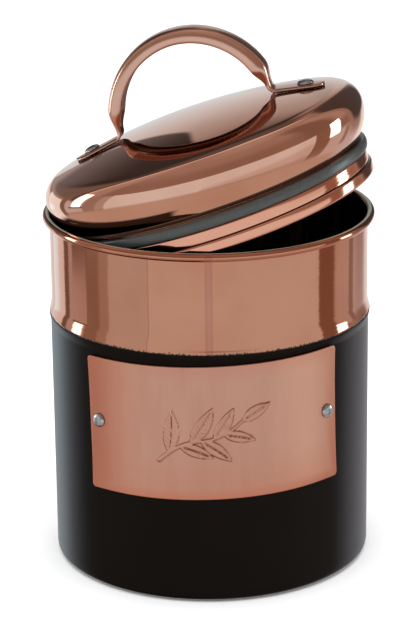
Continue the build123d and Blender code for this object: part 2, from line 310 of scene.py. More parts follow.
def turned_bmesh(outline, steps=TURN_STEPS):
    """Turn an outline of (radius, height) about Z. Points on the axis become poles."""
    bm = bmesh.new()
    rings = []
    for radius, height in without_doubles(outline):
        if radius <= TINY:
            rings.append([bm.verts.new((0, 0, height))] * steps)
            continue
        angles = [2 * pi * k / steps for k in range(steps)]
        rings.append([bm.verts.new((radius * cos(a), radius * sin(a), height)) for a in angles])
    if outline[0][0] > TINY:
        rings.append(rings[0])
    for low, high in zip(rings, rings[1:]):
        for k in range(steps):
            n = (k + 1) % steps
            corners = list(dict.fromkeys([low[k], low[n], high[n], high[k]]))
            if len(corners) >= 3:
                bm.faces.new(corners)
    return bm


def turned_piece(name, outline, body, replaced):
    own_axis = LID if body == "lid" else UPRIGHT
    return finish_mesh(name, turned_bmesh(outline), own_axis, body, replaced)


# ---- canister


def build_shell():
    middle = SHELL_RADIUS - SHELL_SHEET / 2
    path = rounded(
        [(FOOT_RING_RADIUS, SHELL_SHEET / 2), (middle, SHELL_SHEET / 2)]
        + [(middle + out, SHELL_TOP - below) for out, below in SHELL_FLARE],
        [SHELL_CORNER - SHELL_SHEET / 2, *SHELL_FLARE_ROUNDS],
    )
    outline = sheet_outline(refined(path, longest=3), SHELL_SHEET)
    return turned_piece("painted_shell", outline, "canister", "painted_body")


def build_collar():
    """The copper band: sleeve, rounded bead, wall and rolled rim in one sheet."""
    wall = COLLAR_RADIUS - COLLAR_SHEET / 2
    sleeve = SLEEVE_RADIUS - COLLAR_SHEET / 2
    crest = BEAD_RADIUS - COLLAR_SHEET / 2
    crest_z = SHELL_TOP + SHELF_GAP + COLLAR_SHEET / 2
    shelf = [(sleeve, SLEEVE_BOTTOM), (sleeve, crest_z), (crest - SHELF_END, crest_z)]
    path = rounded(shelf, [SHELF_ROUND])
    for t in np.linspace(0, 1, 21)[1:]:
        out = wall + (crest - wall) * (1 - t) ** 1.7 - BEAD_TUCK * (1 - t) ** 14
        path.append((out, crest_z + BEAD_TUCK + (BEAD_TOP - crest_z) * t))
    centre = (wall + CURL_RADIUS - COLLAR_SHEET / 2, RIM_TOP - CURL_RADIUS)
    path.append((wall, centre[1] - CURL_LEAD))
    path += arc(centre, CURL_RADIUS - COLLAR_SHEET / 2, 180, 180 - CURL_SWEEP, steps=44)
    outline = sheet_outline(refined(path, longest=2.5), COLLAR_SHEET)
    return turned_piece("copper_band", outline, "canister", "copper_collar")


# ---- lid


def dome_side(inset):
    """From the lower edge inwards over the top: hem, straight flank, two arcs and the cap."""
    lower = (DOME_RADIUS - DOME_LOWER_ARC, DOME_WIDEST_Z)
    upper = (DOME_RADIUS - DOME_UPPER_ARC, DOME_WIDEST_Z)
    slope = radians(DOME_FLANK_ANGLE)
    flank_top = (lower[0] + DOME_LOWER_ARC * cos(slope), lower[1] - DOME_LOWER_ARC * sin(slope))
    run = (flank_top[1] + DOME_HEM * sin(slope) - DOME_HEM) / cos(slope)
    hem = (flank_top[0] - run * sin(slope) - DOME_HEM * cos(slope), DOME_HEM)
    path = [(DOME_EDGE_RADIUS, inset)]
    path += arc(hem, DOME_HEM - inset, -90, -DOME_FLANK_ANGLE, steps=8)
    path += arc(lower, DOME_LOWER_ARC - inset, -DOME_FLANK_ANGLE, 0, steps=20)
    path += arc(upper, DOME_UPPER_ARC - inset, 0, DOME_UPPER_ANGLE, steps=26)
    path += arc((0, CAP_CENTRE_Z), CAP_RADIUS - inset, DOME_UPPER_ANGLE, 90, steps=40)
    path = refined(path, longest=1.5)
    return path[:-1] + [(0, path[-1][1])]


def build_dome():
    edge = arc((DOME_EDGE_RADIUS, DOME_SHEET / 2), DOME_SHEET / 2, 270, 90, steps=6)[1:-1]
    outline = dome_side(0)[::-1] + edge + dome_side(DOME_SHEET)
    return turned_piece("polished_dome", outline, "lid", "lid_dome")


def build_plug_ring():
    ring = PLUG_RADIUS - PLUG_SHEET / 2
    step = PLUG_STEP_Z - PLUG_SHEET / 2
    points = [*PLUG_FLANGE, (PLUG_FLANGE[1][0], step), (ring, step), (ring, PLUG_RING_END_Z)]
    path = rounded(points, PLUG_ROUNDS)
    outline = sheet_outline(refined(path, longest=1.5), PLUG_SHEET)
    return turned_piece("plug_ring", outline, "lid", "plug_collar")


def build_pan():
    """The pressed pan, with a shallow raised panel in its floor."""
    wall = PAN_RADIUS - PAN_SHEET / 2
    sleeve = PAN_SLEEVE_RADIUS - PAN_SHEET / 2
    shoulder = PAN_TOP_Z - PAN_SHEET / 2
    floor = PAN_BOTTOM_Z + PAN_SHEET / 2
    panel = floor + PAN_PANEL_RISE
    panel_edge, panel_foot = PAN_PANEL_RADII
    points = [(0, panel), (panel_edge, panel), (panel_foot, floor), (wall, floor),
              (wall, shoulder), (sleeve, shoulder), (sleeve, PAN_SLEEVE_TOP_Z)]
    path = refined(rounded(points, PAN_ROUNDS), longest=3)
    outline = [(0 if r < 1e-3 else r, z) for r, z in sheet_outline(path, PAN_SHEET, False)]
    return turned_piece("plug_pan_pressed", outline, "lid", "plug_pan")


def powered(value, power):
    """A sine or cosine raised to a power, with its sign kept."""
    return np.sign(value) * abs(value) ** power


def build_seal():
    """Rubber ring: a softly rounded outer face with a faint moulding line."""
    mid_z = (SEAL_TOP_Z + SEAL_BOTTOM_Z) / 2
    half = (SEAL_TOP_Z - SEAL_BOTTOM_Z) / 2
    outline = []
    for i in range(33):
        a = -pi / 2 + pi * i / 32
        up = powered(sin(a), SEAL_POWER)
        ridge = SEAL_LINE[0] * np.exp(-((up * half) / SEAL_LINE[1]) ** 2)
        out = SEAL_RADIUS - SEAL_BULGE + SEAL_BULGE * abs(cos(a)) ** SEAL_POWER + ridge
        outline.append((out, mid_z + half * up))
    for side, start in ((1, 90), (-1, 180)):
        centre = (SEAL_INNER_RADIUS + SEAL_INNER_ROUND, mid_z + side * (half - SEAL_INNER_ROUND))
        outline += arc(centre, SEAL_INNER_ROUND, start, start + 90, steps=3)
    return turned_piece("seal_ring", outline, "lid", "lid_seal")


# ---- handle

FOOT_SLOPE = asin(FOOT_RIVET / CAP_RADIUS) + radians(FOOT_EXTRA_SLOPE)
FOOT_ALONG = Vector((cos(FOOT_SLOPE), 0, -sin(FOOT_SLOPE)))
FOOT_UP = Vector((sin(FOOT_SLOPE), 0, cos(FOOT_SLOPE)))
CAP_UNDER_RIVET = CAP_CENTRE_Z + sqrt(CAP_RADIUS**2 - FOOT_RIVET**2)
FOOT_SEAT = Vector((FOOT_RIVET, 0, CAP_UNDER_RIVET)) + FOOT_UP * FOOT_LIFT
ARCH_CENTRE = Vector((0, 0, ARCH_CENTRE_Z))


def between(a, b, share):
    return a + (b - a) * share


def radial(angle):
    return Vector((cos(angle), 0, sin(angle)))


def strap_stations():
    """Stations along the right half of the strap, from the foot's tip to the crown.

    Each is (place on the inner face, outward direction, half width, depth, side height).
    """
    rise = (FOOT_SEAT - ARCH_CENTRE).dot(FOOT_UP) + FOOT_BEND
    reach = sqrt((ARCH_RADIUS + NECK_SPREAD + FOOT_BEND) ** 2 - rise**2)
    bend = ARCH_CENTRE + FOOT_UP * rise + FOOT_ALONG * reach
    bend_start = bend - FOOT_UP * FOOT_BEND
    tip = FOOT_SEAT + FOOT_ALONG * ((FOOT_TIP - FOOT_RIVET) / FOOT_ALONG.x)
    length = (tip - bend_start).length
    stations = []
    distances = [FOOT_TIP_ROUND * (1 - cos(pi / 2 * i / 10)) for i in range(11)]
    distances += [between(FOOT_TIP_ROUND, length, i / 14) for i in range(1, 15)]
    for distance in distances:
        share = min(distance / FOOT_TIP_ROUND, 1)
        half_width = FOOT_HALF_WIDTH * sqrt(max(1 - (1 - share) ** 2, 0.0025))
        place = tip + (bend_start - tip).normalized() * distance
        stations.append((place, FOOT_UP, half_width, FOOT_DEPTH, FLAT_EDGE))
    to_arch = (ARCH_CENTRE - bend).normalized()
    start = bearing(-FOOT_UP.xz) % 360
    end = bearing(to_arch.xz) % 360
    for i in range(1, 13):
        share = i / 12
        out = radial(radians(between(start, end, share)))
        half_width = between(FOOT_HALF_WIDTH, NECK_HALF_WIDTH, share)
        depth = between(FOOT_DEPTH, NECK_DEPTH, share)
        stations.append((bend + out * FOOT_BEND, -out, half_width, depth, FLAT_EDGE))
    low = bearing(-to_arch.xz)
    for i in range(1, 49):
        share = i / 48
        out = radial(radians(between(low, 90, share)))
        swell = sin(min(share / SWELL_SHARE, 1) * pi / 2) ** 2
        stations.append((
            ARCH_CENTRE + out * (ARCH_RADIUS + NECK_SPREAD * (1 - swell)),
            out,
            between(NECK_HALF_WIDTH, ARCH_HALF_WIDTH, swell),
            between(NECK_DEPTH, ARCH_DEPTH, swell),
            between(FLAT_EDGE, ARCH_EDGE, swell),
        ))
    return stations


def strap_section(half_width, depth, side):
    """Closed loop of (across, outward): a channel with a rounded back and turned-in edges."""
    sheet = min(HANDLE_SHEET, depth * 0.9, half_width * 0.8)
    loop = []
    for i in range(29):
        a = pi - pi * i / 28
        up = side + (depth - side) * sin(a) ** BACK_POWER
        loop.append((half_width * powered(cos(a), SECTION_POWER), up))
    lip = min(LIP, sheet / 3, half_width / 4)
    inner_half = max(half_width - sheet, half_width * 0.2)
    hollow = max(depth - sheet, 0.1)
    edge = [(half_width - 0.02 * lip, lip), (half_width - lip * 0.6, lip * 0.2),
            (half_width - lip * 1.6, 0), (inner_half + lip, 0),
            (inner_half + lip * 0.3, lip * 0.3)]
    loop += edge
    for i in range(1, 18):
        a = pi * i / 18
        up = max(hollow * sin(a) ** BACK_POWER, lip * 0.3)
        loop.append((inner_half * powered(cos(a), SECTION_POWER), up))
    return loop + [(-across, up) for across, up in edge[::-1]]


def build_handle():
    right = strap_stations()
    flip = Vector((-1, 1, 1))
    left = [(place * flip, outward * flip, *sizes) for place, outward, *sizes in right[:-1]]
    crown_rise = ARCH_CENTRE_Z + ARCH_RADIUS - FOOT_SEAT.z
    bm = bmesh.new()
    loops = []
    under = []
    for place, outward, half_width, depth, side in right + left[::-1]:
        ring = []
        rise = (place.z - FOOT_SEAT.z) / crown_rise
        shoulder = float(smooth(place.x, *SHOULDER_SPAN)) * max(0, min(rise * 2.5, 1))
        place = place - outward * (SHOULDER_TUCK * shoulder)
        depth += SHOULDER_DEPTH * shoulder
        foot = outward in (FOOT_UP, FOOT_UP * flip)
        for k, (across, up) in enumerate(strap_section(half_width, depth, side)):
            ring.append(bm.verts.new(place + Vector((0, across, 0)) + outward * up))
            hollow = HOLLOW_SHADE if HOLLOW_SIDE[0] <= k <= HOLLOW_SIDE[1] else 0
            under.append(1 if foot and up < 0.4 else hollow)
        loops.append(ring)
    for near, far in zip(loops, loops[1:]):
        for k in range(len(near)):
            n = (k + 1) % len(near)
            bm.faces.new([near[k], near[n], far[n], far[k]])
    bm.faces.new(loops[0])
    bm.faces.new(loops[-1][::-1])
    return finish_mesh("handle_strap", bm, HANDLE, "lid", "lid_handle",
                       sharp=50, extra={"under": under})


# ---- rivets


def rivet_outline(head_radius, head_height, shank_radius, tail_radius, grip):
    """Rivet seated on z = 0: a flattened dome with a rolled skirt, a shank and a clenched tail."""
    outline = [(0, head_height)]
    for i in range(1, 15):
        a = pi / 2 * i / 14
        height = RIVET_SKIRT + (head_height - RIVET_SKIRT) * cos(a) ** 0.9
        outline.append((head_radius * sin(a) ** 0.95, height))
    outline += [(head_radius * 0.99, 0.03), (head_radius * 0.95, 0), (shank_radius, 0)]
    outline += [(shank_radius, -grip), (tail_radius * 0.95, -grip), (tail_radius, -grip - 0.12)]
    end = -grip - TAIL_THICKNESS
    return outline + [(tail_radius * 0.92, -grip - 0.5), (tail_radius * 0.6, end), (0, end)]


def build_rivet(name, sizes, grip, owner, place, outwards, body):
    stand = Vector(outwards).to_track_quat("Z", "Y").to_matrix().to_4x4()
    bm = turned_bmesh(rivet_outline(*sizes, grip), RIVET_STEPS)
    return finish_mesh(name + "_head", bm, owner @ Matrix.Translation(place) @ stand, body, name,
                       sharp=60)


def build_rivets():
    pieces = []
    across = SHELL_RADIUS * sin(radians(PLATE_RIVET_ANGLE))
    seat = FOOT_SEAT + FOOT_UP * (FOOT_DEPTH + RIVET_GAP)
    for side, label in ((-1, "left"), (1, "right")):
        angle = radians(-90 + PLATE_TURN + side * PLATE_RIVET_ANGLE)
        outwards = Vector((cos(angle), sin(angle), 0))
        height = PLATE_CENTRE_Z + PLATE_RIVET_RISE + side * across * sin(radians(PLATE_SKEW))
        place = outwards * (PLATE_OUTER + RIVET_GAP) + Vector((0, 0, height))
        flip = Vector((side, 1, 1))
        pieces += [
            build_rivet("plate_rivet_" + label, PLATE_RIVET, PLATE_RIVET_GRIP,
                        UPRIGHT, place, outwards, "canister"),
            build_rivet("handle_rivet_" + label, HANDLE_RIVET, HANDLE_RIVET_GRIP,
                        HANDLE, seat * flip, FOOT_UP * flip, "lid"),
        ]
    return pieces


# ---- name plate

STEM_START = (-19.4, -9.6)
STEM_REACH = (29.6, 14.2)
STEM_WAVE = 1.7
STEM_THICKNESS = (0.72, 0.48)  # at its foot and at its tip
LEAVES = ((0.12, 1, 15.5), (0.25, -1, 12.5), (0.38, 1, 15), (0.50, -1, 13),
          (0.65, 1, 13), (0.76, -1, 11.5))  # (share of the stem, side, length)
LEAF_WIDTH = 0.36  # as a share of its length
LEAF_BEND = 0.12
TIP_LEAF = (11.5, 4.6, 0.08)  # length, width, bend


def leaf_height(u, v, base, angle, length, width, bend):
    """Raised leaf with a pressed-in midrib and veins: 0 outside, 1 on its face."""
    du = u - base[0]
    dv = v - base[1]
    along = (du * cos(angle) + dv * sin(angle)) / length
    inside = np.clip(along, 0, 1)
    across = dv * cos(angle) - du * sin(angle) - bend * length * (inside - inside**2)
    half = width / 2 * np.sin(pi * inside**0.82) ** 0.85
    edge = np.where((along <= 0) | (along >= 1), -1, half - np.abs(across))
    rib = np.exp(-((across / 0.22) ** 2))
    rib = rib * smooth(inside, 0.06, 0.16) * (1 - smooth(inside, 0.78, 0.92))
    veins = np.cos(2 * pi * (inside * 5.5 - np.abs(across) / width * 1.4)) ** 12
    veins = veins * smooth(half, 0.6, 1.2) * smooth(edge, 0.3, 0.9)
    return smooth(edge, -0.02, 0.26) * (1 - 0.75 * rib - 0.22 * veins)


def stem_point(t):
    return (
        STEM_START[0] + STEM_REACH[0] * t,
        STEM_START[1] + STEM_REACH[1] * t + STEM_WAVE * np.sin(2 * pi * t),
    )


def stem_angle(t):
    return atan2(STEM_REACH[1] + 2 * pi * STEM_WAVE * cos(2 * pi * t), STEM_REACH[0])


def sprig_height(u, v):
    """Height field of the embossed sprig: a stem with paired leaves and a leaf at its tip."""
    height = np.zeros_like(u)
    for t in np.linspace(0, 1, 120):
        centre = stem_point(t)
        thickness = between(*STEM_THICKNESS, t)
        distance = np.hypot(u - centre[0], v - centre[1])
        stem = 0.9 * (1 - smooth(distance, thickness - 0.22, thickness + 0.14))
        height = np.maximum(height, stem)
    for t, side, length in LEAVES:
        angle = stem_angle(t) + side * radians(50 - 12 * t)
        leaf = leaf_height(u, v, stem_point(t), angle, length, length * LEAF_WIDTH,
                           -LEAF_BEND * side)
        height = np.maximum(height, leaf)
    tip = leaf_height(u, v, stem_point(0.98), stem_angle(0.98) - radians(12), *TIP_LEAF)
    return np.maximum(height, tip)


def edge_samples(half):
    """Positions from -half to half, crowded at both ends to round the sheet's edge."""
    low = [-half + d for d in (0, 0.04, 0.1, 0.18, 0.3)]
    inner_half = half - 0.55
    inner = np.linspace(-inner_half, inner_half, int(2 * inner_half / PLATE_GRID) + 1)
    return np.array(low + list(inner) + [-x for x in low[::-1]])


def build_plate():
    """Curved name plate with rounded corners, eased edges and an embossed leaf sprig."""
    half_w = PLATE_OUTER * radians(PLATE_HALF_ANGLE)
    half_h = PLATE_HEIGHT / 2
    shares = edge_samples(half_w) / half_w
    rows = edge_samples(half_h)
    over = np.maximum(np.abs(rows) - (half_h - PLATE_CORNER), 0)
    widths = half_w - PLATE_CORNER + np.sqrt(np.maximum(PLATE_CORNER**2 - over**2, 0))
    u = shares[None, :] * widths[:, None]
    v = np.repeat(rows[:, None], len(shares), axis=1)
    border = np.minimum(widths[:, None] - np.abs(u), half_h - np.abs(v))
    inside = np.clip(border / PLATE_EASE, 0, 1)
    eased = PLATE_EASE * (1 - np.sqrt(np.maximum(1 - (1 - inside) ** 2, 0)))
    lift = CORNER_LIFT * (np.abs(u) / half_w) ** 10 * (np.abs(v) / half_h) ** 3
    wave = DENT_DEPTH * np.sin(u * 0.11 + 0.6) * np.cos(v * 0.13 - 0.4)
    sprig = sprig_height(u, v)
    du, dv = GROOVE_REACH
    groove = sprig_height(u + du, v + dv) + sprig_height(u - du, v - dv) - 2 * sprig
    groove = np.clip(groove, 0, 1)
    front = PLATE_OUTER + lift + wave - eased + EMBOSS_HEIGHT * sprig - GROOVE_DEPTH * groove
    back = PLATE_INNER + lift + np.maximum(wave, 0) + eased * 0.4
    skew = radians(PLATE_SKEW)
    angle = radians(-90 + PLATE_TURN) + (u * cos(skew) - v * sin(skew)) / PLATE_OUTER
    height = PLATE_CENTRE_Z + u * sin(skew) + v * cos(skew)
    bm = bmesh.new()
    sheets = []
    for radius in (front, back):
        lines = zip(radius * np.cos(angle), radius * np.sin(angle), height)
        sheets.append([[bm.verts.new(p) for p in zip(*line)] for line in lines])
    face, rear = sheets
    last_row, last = u.shape[0] - 1, u.shape[1] - 1
    for i in range(last_row):
        for k in range(last):
            bm.faces.new([face[i][k], face[i][k + 1], face[i + 1][k + 1], face[i + 1][k]])
            bm.faces.new([rear[i][k], rear[i + 1][k], rear[i + 1][k + 1], rear[i][k + 1]])
    rim = [(0, k) for k in range(last)] + [(i, last) for i in range(last_row)]
    rim += [(last_row, k) for k in range(last, 0, -1)] + [(i, 0) for i in range(last_row, 0, -1)]
    for (i, k), (m, n) in zip(rim, rim[1:] + rim[:1]):
        bm.faces.new([face[i][k], rear[i][k], rear[m][n], face[m][n]])
    layers = {"border": np.tile(border.ravel(), 2), "groove": np.tile(groove.ravel(), 2)}
    return finish_mesh("leaf_plate", bm, UPRIGHT, "canister", "name_plate",
                       sharp=50, extra=layers)


# ---- shader helpers


class Shader:
    """Builds a node tree with short calls. Every call returns an output socket.

    Colours are linear RGB without their alpha.
    """

    def __init__(self, owner):
        owner.use_nodes = True
        self.owner = owner
        self.tree = owner.node_tree
        self.tree.nodes.clear()

    def made(self, kind, inputs=None, **settings):
        node = self.tree.nodes.new("ShaderNode" + kind)
        for key, value in settings.items():
            setattr(node, key, value)
        for key, value in (inputs or {}).items():
            self.feed(node.inputs[key], value)
        return node

    def node(self, kind, inputs=None, output=0, **settings):
        return self.made(kind, inputs, **settings).outputs[output]

    def feed(self, socket, value):
        if isinstance(value, bpy.types.NodeSocket):
            self.tree.links.new(value, socket)
        elif value is not None:
            socket.default_value = (*value, 1) if socket.type == "RGBA" else value

    def math(self, operation, a, b=0, c=0):
        return self.node("Math", {0: a, 1: b, 2: c}, operation=operation)

    def sloped(self, value, slope, start):
        return self.math("MULTIPLY_ADD", value, slope, start)

    def plus(self, a, b):
        return self.math("ADD", a, b)

    def minus(self, a, b):
        return self.math("SUBTRACT", a, b)

    def times(self, *factors):
        product = factors[0]
        for factor in factors[1:]:
            product = self.math("MULTIPLY", product, factor)
        return product

    def varied(self, base, noise, spread, middle=0.5):
        """A value shifted up and down by a noise."""
        return self.plus(base, self.times(self.minus(noise, middle), spread))

    def vector(self, operation, a, b=(0, 0, 0), output=0):
        return self.node("VectorMath", {0: a, 1: b}, output, operation=operation)

    def stretched(self, vector, factors):
        return self.vector("MULTIPLY", vector, factors)

    def scaled(self, vector, factor):
        inputs = {0: vector, "Scale": factor}
        return self.node("VectorMath", inputs, operation="SCALE")

    def parts(self, vector):
        return self.made("SeparateXYZ", {0: vector}).outputs[:3]

    def join(self, x, y, z):
        return self.node("CombineXYZ", {0: x, 1: y, 2: z})

    def from_axis(self, x, y):
        return self.math("SQRT", self.plus(self.times(x, x), self.times(y, y)))

    def degrees(self, operation, a, b=0):
        return self.times(self.math(operation, a, b), 180 / pi)

    def bearings(self, direction):
        """Azimuth, 0 towards the camera and +90 to its right, and elevation, in degrees."""
        x, y, z = self.parts(direction)
        azimuth = self.degrees("ARCTAN2", x, self.times(y, -1))
        return azimuth, self.degrees("ARCSINE", z)

    def linear(self, value, low, high, start=0, end=1, kind="LINEAR"):
        inputs = {"Value": value, "From Min": low, "From Max": high, "To Min": start,
                  "To Max": end}
        return self.node("MapRange", inputs, interpolation_type=kind)

    def step(self, value, low, high, start=0, end=1):
        """Smooth step of a value from start at low to end at high."""
        return self.linear(value, low, high, start, end, kind="SMOOTHSTEP")

    def below(self, value, limit, soft):
        """1 below the limit and 0 above it."""
        return self.step(value, limit + soft, limit - soft)

    def window(self, value, low, high, soft):
        """1 between low and high, 0 outside, with soft edges."""
        rise = self.step(value, low - soft / 2, low + soft / 2)
        fall = self.step(value, high - soft / 2, high + soft / 2, 1, 0)
        return self.times(rise, fall)

    def noise(self, vector, scale, detail=2, roughness=0.5, output=0):
        inputs = {"Vector": vector, "Scale": scale, "Detail": detail, "Roughness": roughness}
        return self.node("TexNoise", inputs, output)

    def mix(self, factor, a, b, blend="MIX"):
        inputs = {0: factor, 6: a, 7: b}
        return self.node("Mix", inputs, 2, data_type="RGBA", blend_type=blend)

    def bump(self, height, strength, distance, normal=None):
        inputs = {"Height": height, "Strength": strength, "Distance": distance, "Normal": normal}
        return self.node("Bump", inputs)

    def layer(self, name):
        """A value that the mesh holds by point."""
        return self.node("Attribute", output=2, attribute_name=name)

    def seen_in_gloss(self):
        """1 where the surface is seen as a reflection in another one."""
        return self.node("LightPath", output=3)

    def surface(self, base, roughness, normal=None, metallic=0, specular=None, tint=None):
        inputs = {"Base Color": base, "Roughness": roughness, "Normal": normal,
                  "Metallic": metallic, "Specular IOR Level": specular, "Specular Tint": tint}
        return self.node("BsdfPrincipled", inputs)

    def over(self, factor, below, above):
        return self.node("MixShader", {0: factor, 1: below, 2: above})

    def finish(self, kind, surface):
        self.made(kind, {"Surface": surface})


def own_coordinates(sh):
    """Place in millimetres in the piece's own frame, and distance from its axis."""
    own = sh.node("Attribute", output=1, attribute_name="own")
    x, y, z = sh.parts(own)
    return own, x, y, z, sh.from_axis(x, y)


def paint(piece, sh, surface):
    """Finish a material and give it to a piece."""
    sh.finish("OutputMaterial", surface)
    piece.data.materials.clear()
    piece.data.materials.append(sh.owner)


def new_material(name):
    return Shader(bpy.data.materials.new(name))


def tinted(tint, red, green, blue):
    return (tint[0] * red, tint[1] * green, tint[2] * blue)


# ---- polished copper

# the band's copper: the dome's plate made darker and redder, painted shade for the dimmer light it
# mirrors
BAND_SHADED_TINT = (0.62, 0.255, 0.15)
DOME_TINT = (0.82, 0.43, 0.295)
PLUG_TINT = (0.88, 0.383, 0.24)
HANDLE_TINT = (0.80, 0.44, 0.315)
HANDLE_SHADOW = (0.02, 0.010, 0.007)
HANDLE_REFLECTION_SHADE = (0.50, 0.42, 0.40)
# painted shade in the dome's colour where it mirrors the low right
PAINTED_LOW_RIGHT_SHADE = (0.84, 0.74, 0.70)
CREVICE_SHADE = (0.012, 0.007, 0.005)
LACQUER = (0.012, 0.013, 0.011)
LACQUER_REFLECTION_STREAK = (0.085, 0.050, 0.038)
RIM_CREST_HIGHLIGHT = (0.25, 0.285, 0.215)
RIM_REFLECTION_SHADE = (0.012, 0.006, 0.004)
RAGGED_PAINT = (0.011, 0.009, 0.008)

CURL_CENTRE_Z = RIM_TOP - CURL_RADIUS
CURL_CREST = COLLAR_RADIUS - COLLAR_SHEET + CURL_RADIUS + 0.3
LACQUER_RADIUS = COLLAR_RADIUS - COLLAR_SHEET / 2
CURL_INSIDE = 56.3  # where the lacquer ends on the curl
EDGE_SOFT = 0.12
PAINT_EDGE = SHELL_TOP + 0.62
PAN_CREVICE_SHADE = (PAN_RADIUS - 0.35, PAN_TOP_Z - 0.1)

# painted reflections in the band's colour: (azimuth from, to, softness, tone)
PAINTED_PANEL_REFLECTIONS = (
    (-77.5, -45, 3, (0.88, 0.88, 0.88)),
    (-45.2, -44.2, 0.5, (0.80, 0.75, 0.75)),
    (-3.2, 2, 0.7, (0.84, 0.76, 0.82)),
    (-2.2, 1.2, 0.7, (1.08, 1.12, 1.14)),
)


def mirrored_direction(sh):
    """Azimuth and elevation, in degrees, of what the camera sees mirrored in the surface."""
    return sh.bearings(sh.node("TexCoord", output=6))


def painted_panel_reflections(sh, base):
    """Painted reflections in the band's colour of the front panel: a dimmer left part and two
    seams.
    """
    azimuth, _ = mirrored_direction(sh)
    for low, high, soft, tone in PAINTED_PANEL_REFLECTIONS:
        base = sh.mix(sh.window(azimuth, low, high, soft), base, tone, "MULTIPLY")
    return base


def painted_low_right_shade(sh, base):
    """Painted shade: deepen a tone where the surface mirrors what lies low and to the right of the
    camera.
    """
    azimuth, elevation = mirrored_direction(sh)
    line = sh.sloped(azimuth, 0.24, -21)
    low = sh.times(sh.step(sh.minus(elevation, line), 4, -8),
                   sh.step(elevation, -31, -24), sh.window(azimuth, 1, 84.5, 3))
    return sh.mix(low, base, PAINTED_LOW_RIGHT_SHADE, "MULTIPLY")


def turned_normal(sh, own, ring_jitter, wave):
    """Normal with turning marks round the axis, a faint waviness and a fine grain."""
    normal = sh.node("NewGeometry", output=1)
    around = sh.vector("NORMALIZE", sh.vector("CROSS_PRODUCT", (0, 0, 1), normal))
    rows = sh.stretched(own, (0.012, 0.012, 3.2))
    jitter = sh.times(sh.minus(sh.noise(rows, 1, 2, 0.6), 0.5), ring_jitter)
    normal = sh.vector("ADD", normal, sh.scaled(around, jitter))
    swell = sh.vector("SUBTRACT", sh.noise(own, 0.05, 1, output=1), (0.5, 0.5, 0.5))
    normal = sh.vector("NORMALIZE", sh.vector("ADD", normal, sh.scaled(swell, wave)))
    fine = sh.noise(sh.stretched(own, (0.4, 0.4, 6)), 2.2, 3, 0.6)
    return sh.bump(fine, 0.04, 0.00002, normal)


def scratched(sh, own, base, spread=0.05):
    """Roughness with soft smudges and fine hairline marks."""
    smudge = sh.noise(own, 0.045, 3, 0.6)
    hair = sh.noise(sh.stretched(own, (0.9, 0.9, 5)), 1.3, 4, 0.7)
    return sh.varied(sh.varied(base, smudge, spread, middle=0.45), hair, spread * 0.5)


def lacquered_inside(sh, own, z, radius, normal, below):
    """The band's inside: dark lacquer with painted streaks of reflected light, ending on the curl,
    a painted highlight along the rim's crest, and the curl painted dark where the lid mirrors it.
    """
    # painted reflections: brown upright streaks in the lacquer's colour stand in for light
    # reflected inside
    reflection_streaks = sh.noise(sh.stretched(own, (0.16, 0.16, 0.012)), 1, 3, 0.6)
    inner = sh.mix(sh.step(reflection_streaks, 0.42, 0.70), LACQUER, LACQUER_REFLECTION_STREAK)
    past = sh.varied(radius, sh.noise(own, 0.9, 2, 0.6), 0.25)
    over_curl = (z, CURL_CENTRE_Z - 0.1, CURL_CENTRE_Z + 0.1)
    # painted highlight: a pale grey line along the curl's crest
    crest = sh.times(sh.below(past, CURL_CREST, EDGE_SOFT), sh.step(*over_curl))
    metal = sh.over(crest, below, sh.surface(RIM_CREST_HIGHLIGHT, 0.4, normal))
    further = sh.step(*over_curl, 0, CURL_INSIDE - LACQUER_RADIUS)
    inside = sh.below(sh.minus(past, further), LACQUER_RADIUS, EDGE_SOFT)
    metal = sh.over(inside, metal, sh.surface(inner, 0.13, normal, specular=0.9))
    # painted shade: the curl turns dark where it is seen mirrored in the lid
    curl = sh.step(z, CURL_CENTRE_Z - 1.6, CURL_CENTRE_Z - 1.2, 0, 0.93)
    painted_rim_shade = sh.node("BsdfDiffuse", {"Color": RIM_REFLECTION_SHADE})
    return sh.over(sh.times(sh.seen_in_gloss(), curl), metal, painted_rim_shade)


def ragged_paint(sh, own, z, normal, below):
    """The shell's black paint, run up over the bead with a ragged edge."""
    ragged = sh.noise(sh.stretched(own, (1.7, 1.7, 0.9)), 1, 3, 0.7)
    covered = sh.step(sh.varied(z, ragged, 3.4), PAINT_EDGE - 0.05, PAINT_EDGE + 0.15, 1, 0)
    return sh.over(covered, below, sh.surface(RAGGED_PAINT, 0.42, normal))


def polished_copper(piece, kind, tint, roughness, wave, ring_jitter=0):
    """Polished copper plate: fine turning marks, faint waviness and smudges in its roughness.

    The kind is dome, band, handle, plug or pan; all but the plug get painted shade, and the band
    painted reflections.
    """
    sh = new_material(f"copper_{kind}_finish")
    own, _, _, z, radius = own_coordinates(sh)
    tone = sh.step(sh.noise(own, 0.035, 3, 0.55), 0.3, 0.7)
    base = sh.mix(tone, tint, tinted(tint, 0.93, 0.88, 0.85))
    if kind == "dome":
        base = painted_low_right_shade(sh, base)
    if kind == "band":
        base = painted_panel_reflections(sh, base)
    if kind == "handle":
        base = sh.mix(sh.layer("under"), base, HANDLE_SHADOW)
        # painted shade: the handle turns darker where it is seen mirrored in the lid
        base = sh.mix(sh.seen_in_gloss(), base, HANDLE_REFLECTION_SHADE, "MULTIPLY")
    if kind == "pan":
        # painted shade in the crevice where the pan's shoulder meets the plug ring
        wall, top = PAN_CREVICE_SHADE
        painted_crevice = sh.times(sh.below(radius, wall, 0.1), sh.step(z, top - 0.12, top + 0.04))
        base = sh.mix(painted_crevice, base, CREVICE_SHADE)
    normal = turned_normal(sh, own, ring_jitter, wave)
    metal = sh.surface(base, scratched(sh, own, roughness), normal, metallic=1)
    if kind == "band":
        metal = lacquered_inside(sh, own, z, radius, normal, metal)
        metal = ragged_paint(sh, own, z, normal, metal)
    paint(piece, sh, metal)


# ---- other materials

